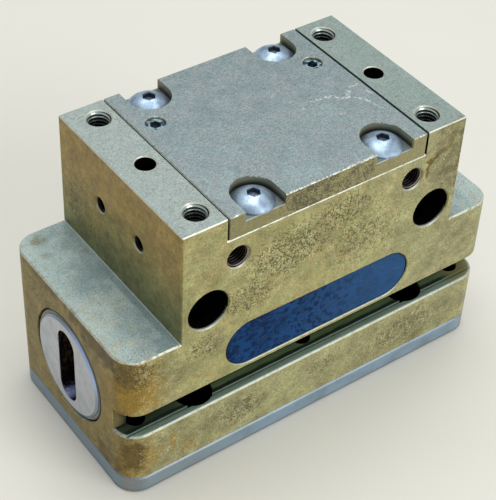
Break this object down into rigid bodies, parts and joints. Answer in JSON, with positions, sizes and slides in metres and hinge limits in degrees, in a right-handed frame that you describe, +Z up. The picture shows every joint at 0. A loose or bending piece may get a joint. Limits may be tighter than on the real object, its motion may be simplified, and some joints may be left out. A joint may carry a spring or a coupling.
{
  "type": "parallel gripper",
  "caption": "Sealed pneumatic parallel gripper: a stepped anodised block with round jaw slides in its ends, driven apart by a wedge on an oval piston.",
  "frame": {"origin": "middle of the bottom plate's underside", "axes": "+X along the slides to the right jaw, +Y from the front with the air ports to the back, +Z up to the mounting face"},
  "size_m": [0.1112, 0.0524, 0.0762],
  "materials": {
    "anodised_block": "hard-anodised olive gold, worn and stained",
    "anodised_cover": "hard-anodised grey olive with fine scuffs",
    "plate_aluminium": "smooth blue-grey, satin",
    "piston_aluminium": "turned, satin",
    "screw_steel": "bright stainless steel",
    "plug_steel": "bluish zinc",
    "slide_steel": "ground steel",
    "hardened_steel": "ground hardened steel",
    "bush_bronze": "bearing bronze",
    "wiper_rubber": "dark grey-green, dusty",
    "seal_rubber": "black, matt",
    "guide_plastic": "brown filled plastic",
    "label_blue": "deep blue, scuffed and bare of lettering",
    "magnet_nickel": "nickel plated"
  },
  "bodies": {
    "gripper_body": {"housing": "anodised_block", "cylinder_cover": "anodised_cover", "cover_screws": "screw_steel", "port_plugs": "plug_steel", "bottom_plate": "plate_aluminium", "bottom_plate_screws": "screw_steel", "bottom_seal": "seal_rubber", "name_label": "label_blue", "rod_bush": "bush_bronze", "rod_seal": "seal_rubber", "cover_seal": "seal_rubber", "left_guide_bush": "bush_bronze", "right_guide_bush": "bush_bronze", "left_lip_seal": "seal_rubber", "right_lip_seal": "seal_rubber", "left_wiper_ring": "wiper_rubber", "right_wiper_ring": "wiper_rubber"},
    "drive_piston": {"piston": "piston_aluminium", "piston_bolt": "screw_steel", "wedge_rod": "hardened_steel", "piston_seal": "seal_rubber", "piston_guide_ring": "guide_plastic"},
    "left_jaw": {"left_jaw_slide": "slide_steel", "left_sensor_magnet": "magnet_nickel"},
    "right_jaw": {"right_jaw_slide": "slide_steel", "right_sensor_magnet": "magnet_nickel"}
  },
  "joints": [
    {"name": "piston_stroke", "type": "slide", "parent": "gripper_body", "child": "drive_piston", "axis": [0, 0, -1], "range_m": [0, 0.012]},
    {"name": "left_jaw_slide_joint", "type": "slide", "parent": "gripper_body", "child": "left_jaw", "axis": [-1, 0, 0], "range_m": [0, 0.008]},
    {"name": "right_jaw_slide_joint", "type": "slide", "parent": "gripper_body", "child": "right_jaw", "axis": [1, 0, 0], "range_m": [0, 0.008]}
  ],
  "couplings": [
    {"joint": "left_jaw_slide_joint", "follows": "piston_stroke", "ratio": 0.66667},
    {"joint": "right_jaw_slide_joint", "follows": "piston_stroke", "ratio": 0.66667}
  ]
}
